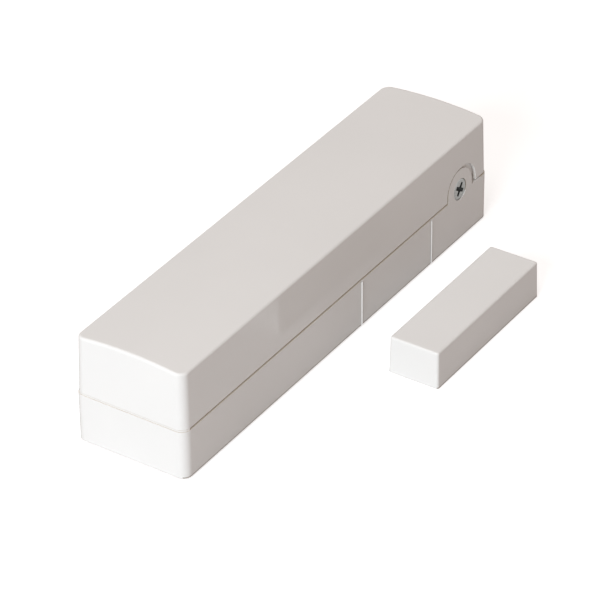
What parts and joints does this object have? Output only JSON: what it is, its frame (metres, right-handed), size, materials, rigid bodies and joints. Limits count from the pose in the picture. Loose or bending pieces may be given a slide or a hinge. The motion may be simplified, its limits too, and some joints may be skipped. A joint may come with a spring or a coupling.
{
  "type": "door window sensor",
  "caption": "Long pale plastic sensor housing with a crowned cover, a screw tongue in one side and a small separate magnet block beside it.",
  "frame": {"origin": "middle of the housing's back face, which lies on the door or window frame", "axes": "+X along the housing from its hooked end to its screwed end, +Y from the magnet block's side to the far side, +Z out of the back face towards the crowned cover"},
  "size_m": [0.128, 0.0578, 0.0284],
  "materials": {
    "base": "fine texture",
    "cover": "satin",
    "cover_screw": "bright nickel",
    "circuit_board": "green solder mask",
    "board_screws": "bright zinc",
    "battery_holder": "black moulding",
    "battery_cell": "printed sleeve without words",
    "battery_contact_minus": "nickel plate",
    "battery_contact_plus": "nickel plate",
    "reed_glass": "green glass",
    "reed_blade_near": "tinned iron",
    "reed_blade_far": "tinned iron",
    "controller_chip": "black epoxy",
    "crystal_can": "drawn can",
    "radio_shield": "tinned sheet",
    "antenna_wire": "enamelled copper",
    "header_body": "black moulding",
    "header_pins": "gilt",
    "setting_link": "blue moulding",
    "terminal_block": "green moulding",
    "terminal_cages": "plated brass",
    "terminal_screws": "bright zinc",
    "status_led": "tinted clear resin",
    "capacitor_foot": "black moulding",
    "storage_capacitor": "drawn can",
    "ceramic_capacitors": "fired ceramic",
    "tamper_spring": "spring bronze",
    "magnet_shell": "satin",
    "magnet_plate": "fine texture",
    "bar_magnet": "sintered ferrite"
  },
  "bodies": {
    "root": {"base": "base", "cover": "cover", "cover_screw": "cover_screw", "circuit_board": "circuit_board", "board_screws": "board_screws", "battery_holder": "battery_holder", "battery_cell": "battery_cell", "battery_contact_minus": "battery_contact_minus", "battery_contact_plus": "battery_contact_plus", "reed_glass": "reed_glass", "reed_blade_near": "reed_blade_near", "reed_blade_far": "reed_blade_far", "controller_chip": "controller_chip", "crystal_can": "crystal_can", "radio_shield": "radio_shield", "antenna_wire": "antenna_wire", "header_body": "header_body", "header_pins": "header_pins", "setting_link": "setting_link", "terminal_block": "terminal_block", "terminal_cages": "terminal_cages", "terminal_screws": "terminal_screws", "status_led": "status_led", "capacitor_foot": "capacitor_foot", "storage_capacitor": "storage_capacitor", "ceramic_capacitors": "ceramic_capacitors", "tamper_spring": "tamper_spring", "magnet_shell": "magnet_shell", "magnet_plate": "magnet_plate", "bar_magnet": "bar_magnet"}
  },
  "joints": []
}
